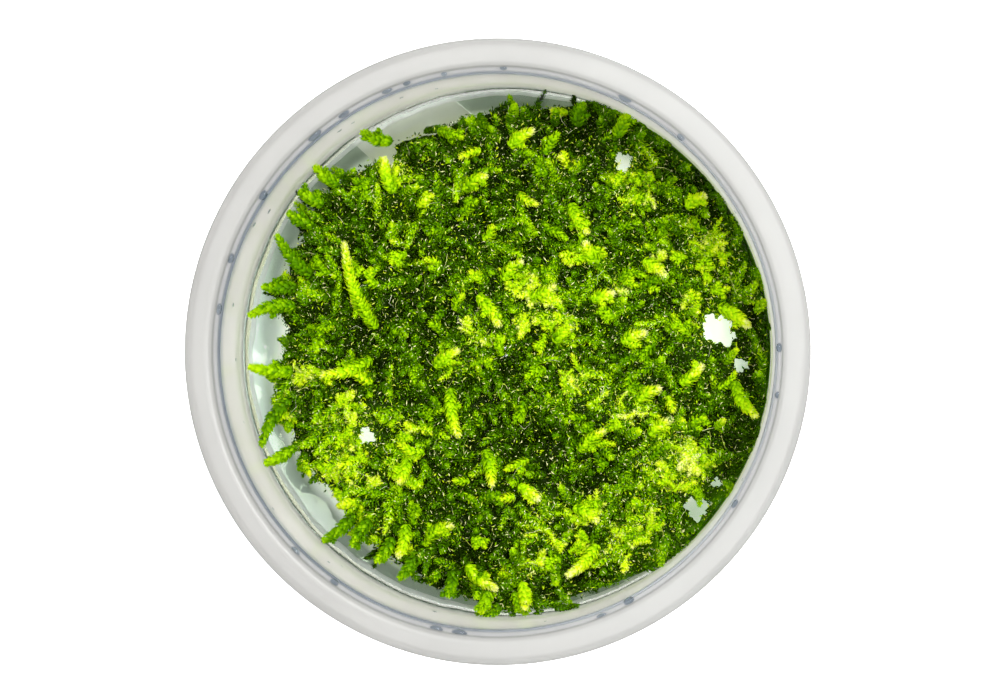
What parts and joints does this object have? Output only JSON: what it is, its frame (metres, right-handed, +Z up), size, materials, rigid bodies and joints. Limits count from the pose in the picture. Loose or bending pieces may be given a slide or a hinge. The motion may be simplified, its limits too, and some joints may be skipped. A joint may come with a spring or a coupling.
{
  "type": "moss clump in a culture cup",
  "caption": "Clump of leafy aquarium moss spread over clear gel in the bottom of a round frosted plastic culture cup, open at the top.",
  "frame": {"origin": "middle of the foot ring's underside, on the cup's axis, at the height of the surface it stands on", "axes": "+Z up along the cup's axis and out of its mouth; +X towards the side where the moss meets the wall; +Y is the side where the blank label's outer end lies, to the -X half"},
  "size_m": [0.1, 0.1, 0.04],
  "materials": {
    "frosted_plastic": "satin",
    "nutrient_gel": "gloss",
    "label_paper": "matte",
    "moss_carpet": "matte",
    "moss_shoots": "satin"
  },
  "bodies": {
    "root": {"cup": "frosted_plastic", "nutrient_gel": "nutrient_gel", "base_label": "label_paper", "moss_mat": "moss_carpet", "top_shoot_01": "moss_shoots", "top_shoot_02": "moss_shoots", "top_shoot_03": "moss_shoots", "top_shoot_04": "moss_shoots", "top_shoot_05": "moss_shoots", "top_shoot_06": "moss_shoots", "top_shoot_07": "moss_shoots", "top_shoot_08": "moss_shoots", "top_shoot_09": "moss_shoots", "top_shoot_10": "moss_shoots", "top_shoot_11": "moss_shoots", "top_shoot_12": "moss_shoots", "top_shoot_13": "moss_shoots", "top_shoot_14": "moss_shoots", "top_shoot_15": "moss_shoots", "top_shoot_16": "moss_shoots", "top_shoot_17": "moss_shoots", "top_shoot_18": "moss_shoots", "top_shoot_19": "moss_shoots", "top_shoot_20": "moss_shoots", "top_shoot_21": "moss_shoots", "top_shoot_22": "moss_shoots", "top_shoot_23": "moss_shoots", "top_shoot_24": "moss_shoots", "top_shoot_25": "moss_shoots", "top_shoot_26": "moss_shoots", "top_shoot_27": "moss_shoots", "top_shoot_28": "moss_shoots", "top_shoot_29": "moss_shoots", "top_shoot_30": "moss_shoots", "top_shoot_31": "moss_shoots", "top_shoot_32": "moss_shoots", "edge_shoot_01": "moss_shoots", "edge_shoot_02": "moss_shoots", "edge_shoot_03": "moss_shoots", "edge_shoot_04": "moss_shoots", "edge_shoot_05": "moss_shoots", "edge_shoot_06": "moss_shoots", "edge_shoot_07": "moss_shoots", "edge_shoot_08": "moss_shoots", "edge_shoot_09": "moss_shoots", "edge_shoot_10": "moss_shoots", "edge_shoot_11": "moss_shoots", "edge_shoot_12": "moss_shoots", "edge_shoot_13": "moss_shoots", "edge_shoot_14": "moss_shoots", "edge_shoot_15": "moss_shoots", "edge_shoot_16": "moss_shoots", "edge_shoot_17": "moss_shoots", "edge_shoot_18": "moss_shoots"}
  },
  "joints": []
}
